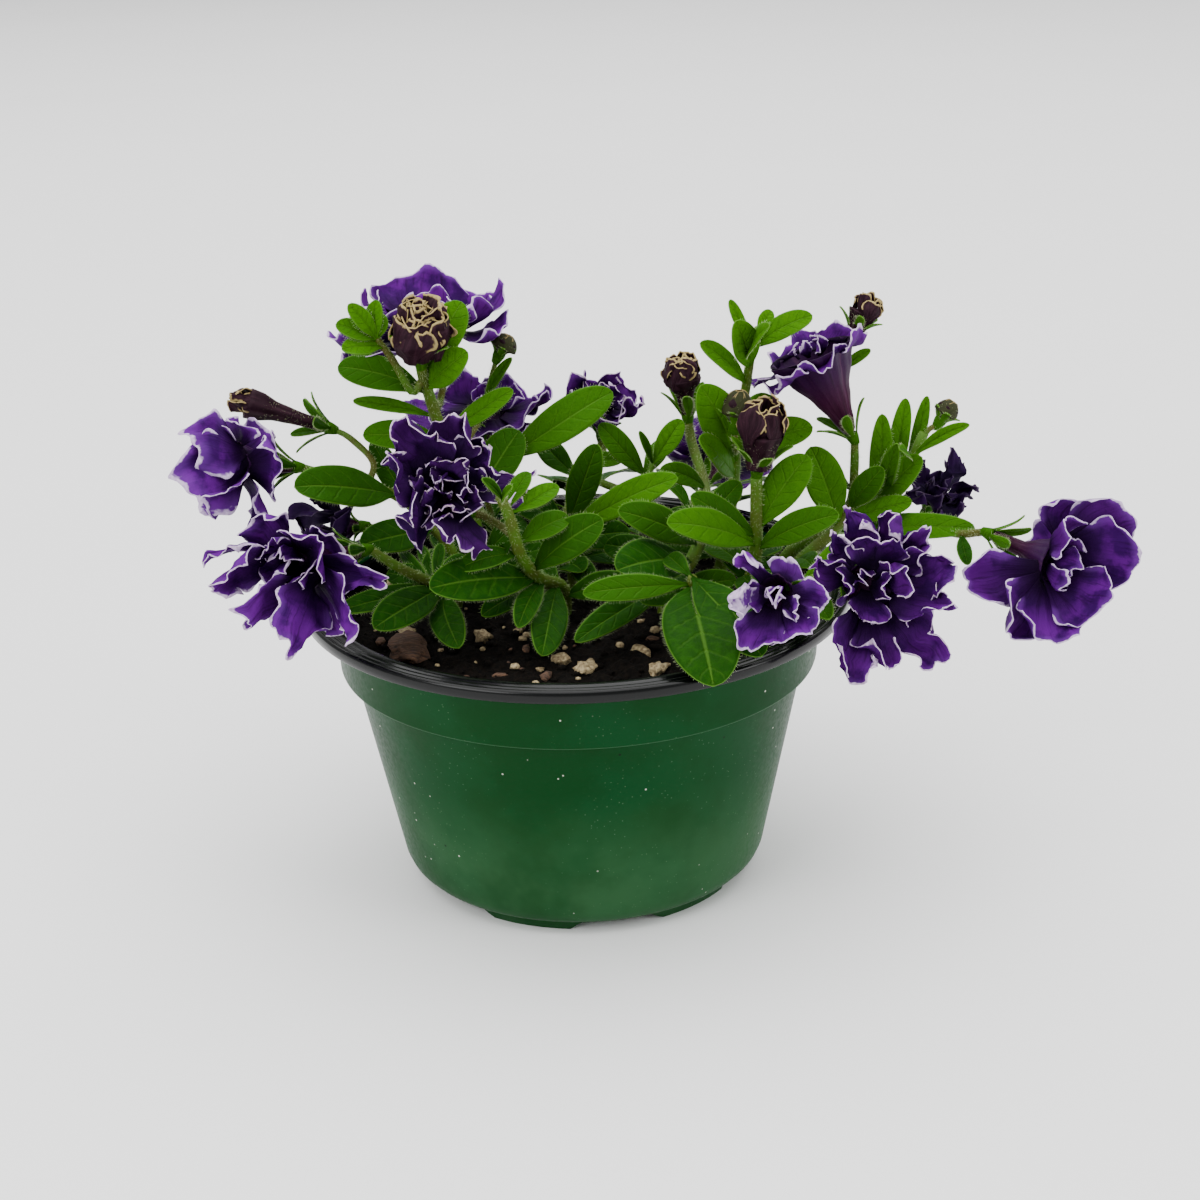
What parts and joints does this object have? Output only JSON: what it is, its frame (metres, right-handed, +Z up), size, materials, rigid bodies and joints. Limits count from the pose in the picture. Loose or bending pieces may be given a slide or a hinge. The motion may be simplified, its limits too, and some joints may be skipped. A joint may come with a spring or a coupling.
{
  "type": "potted petunia",
  "caption": "Double-flowered petunia with ruffled violet blooms, pale-edged petals, hairy spoon-shaped leaves and buds, growing in a shallow round plastic nursery pan.",
  "frame": {"origin": "middle of the pan's underside, on the flat pad that it stands on", "axes": "+Z up; -Y is the front of the plant; +X runs to the right along the plant's widest spread"},
  "size_m": [0.3353, 0.2215, 0.2238],
  "materials": {
    "pan_plastic": "satin dark green moulded plastic with a near-black lip",
    "potting_mix": "moist dark peat with pale perlite grains and bark chips",
    "greenery": "soft leaf green with a paler midrib and short pale hairs",
    "petals": "deep violet velvet with thin lavender-white edges",
    "bud_skin": "dull maroon-brown with cream curled margins"
  },
  "bodies": {
    "root": {"pan": "pan_plastic", "potting_mix": "potting_mix", "stem_left_top": "greenery", "stem_far_left": "greenery", "stem_low_left": "greenery", "stem_centre_front": "greenery", "stem_centre": "greenery", "stem_right_centre": "greenery", "stem_front_right": "greenery", "stem_right_front": "greenery", "stem_top_right": "greenery", "stem_right": "greenery", "stem_far_right": "greenery", "stem_back_left": "greenery", "stem_back": "greenery", "stem_back_right": "greenery", "stem_low_right": "greenery", "bloom_left_top": "petals", "bloom_back_left": "petals", "bloom_left": "petals", "bloom_low_left": "petals", "bloom_centre": "petals", "bloom_back": "petals", "bloom_right_top": "petals", "bloom_right_front": "petals", "bloom_small_front": "petals", "bloom_far_right": "petals", "bloom_right_back": "petals", "bloom_left_back": "petals", "bloom_rear_left": "petals", "bloom_rear_right": "petals", "bud_far_left": "bud_skin", "bud_left_top": "bud_skin", "bud_centre": "bud_skin", "bud_right_front": "bud_skin", "bud_right_small": "bud_skin", "bud_right_top": "bud_skin", "bud_far_right": "bud_skin", "bud_back_left": "bud_skin"}
  },
  "joints": []
}
